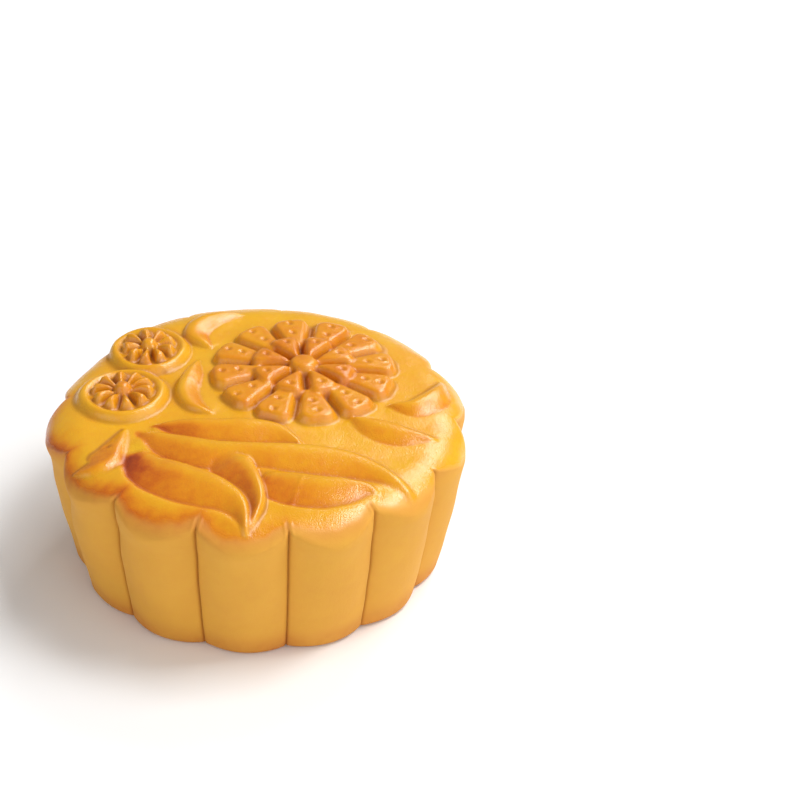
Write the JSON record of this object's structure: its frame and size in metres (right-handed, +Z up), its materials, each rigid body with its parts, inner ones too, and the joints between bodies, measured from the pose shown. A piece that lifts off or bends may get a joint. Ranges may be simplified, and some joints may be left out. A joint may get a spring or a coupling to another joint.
{
  "type": "mooncake",
  "caption": "Whole baked mooncake: a round pastry with a fluted wall, a rounded shoulder, and moulded flowers and leaves on its top.",
  "frame": {"origin": "under the middle of the cake's outline, on its flat base", "axes": "+Z up through the cake; the spray of leaves on its top faces -Y"},
  "size_m": [0.081, 0.0816, 0.0348],
  "materials": {
    "crust": "golden baked crust, glossy egg-washed top and shoulder, matte wall"
  },
  "bodies": {
    "root": {"mooncake": "crust"}
  },
  "joints": []
}
